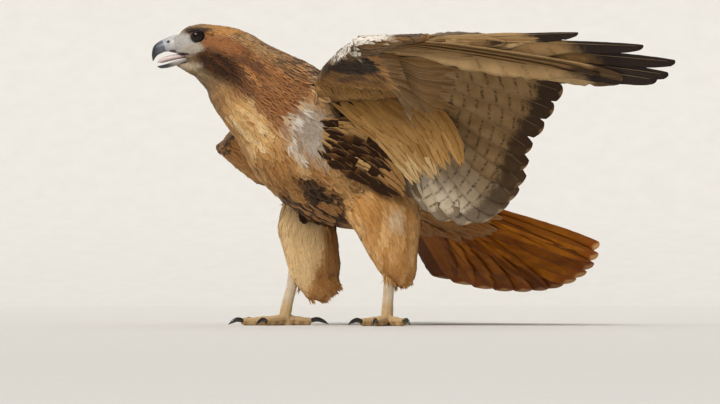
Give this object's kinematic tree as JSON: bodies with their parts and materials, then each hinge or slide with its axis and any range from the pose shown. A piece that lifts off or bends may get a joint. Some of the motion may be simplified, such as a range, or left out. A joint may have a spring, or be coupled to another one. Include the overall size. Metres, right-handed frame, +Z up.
{
  "type": "red-tailed hawk model",
  "caption": "Still, life-size model of a standing red-tailed hawk with its bill open, its near wing raised and half open, and its tail fanned.",
  "frame": {"origin": "below the middle of the model's box, on the level that the soles rest on", "axes": "+Z up, the hawk looks along -X, its left side and raised wing face -Y"},
  "size_m": [0.572, 0.6742, 0.3359],
  "materials": {
    "plumage_crown": "soft overlapping feathers, rufous brown with paler streaks",
    "plumage_breast": "soft feathers, buff with dark brown blotches over the belly",
    "plumage_thigh": "soft feathers, plain tawny buff",
    "tail_feathers": "smooth vanes, rufous with a thin dark band and pale tips",
    "flight_feathers": "smooth vanes, pale grey with dark bars and dark tips",
    "wing_coverts": "soft overlapping feathers, buff below and dark brown above",
    "cere": "waxy bare skin",
    "bill_horn": "smooth horn, slate with a paler base",
    "mouth": "moist skin",
    "eye": "wet, dark brown iris",
    "leg_scales": "scaly skin",
    "claw": "smooth black horn"
  },
  "bodies": {
    "root": {"head": "plumage_crown", "cere": "cere", "upper_bill": "bill_horn", "lower_bill": "bill_horn", "tongue": "mouth", "eye_left": "eye", "eye_right": "eye", "neck": "plumage_crown", "trunk": "plumage_breast", "tail": "tail_feathers", "thigh_left": "plumage_thigh", "foot_left": "leg_scales", "claw_inner_left": "claw", "claw_middle_left": "claw", "claw_outer_left": "claw", "claw_hind_left": "claw", "thigh_right": "plumage_thigh", "foot_right": "leg_scales", "claw_inner_right": "claw", "claw_middle_right": "claw", "claw_outer_right": "claw", "claw_hind_right": "claw", "upper_arm_left": "wing_coverts", "forearm_left": "wing_coverts", "hand_left": "wing_coverts", "primaries_left": "flight_feathers", "secondaries_left": "flight_feathers", "upper_arm_right": "wing_coverts", "forearm_right": "wing_coverts", "hand_right": "wing_coverts", "primaries_right": "flight_feathers", "secondaries_right": "flight_feathers"}
  },
  "joints": []
}
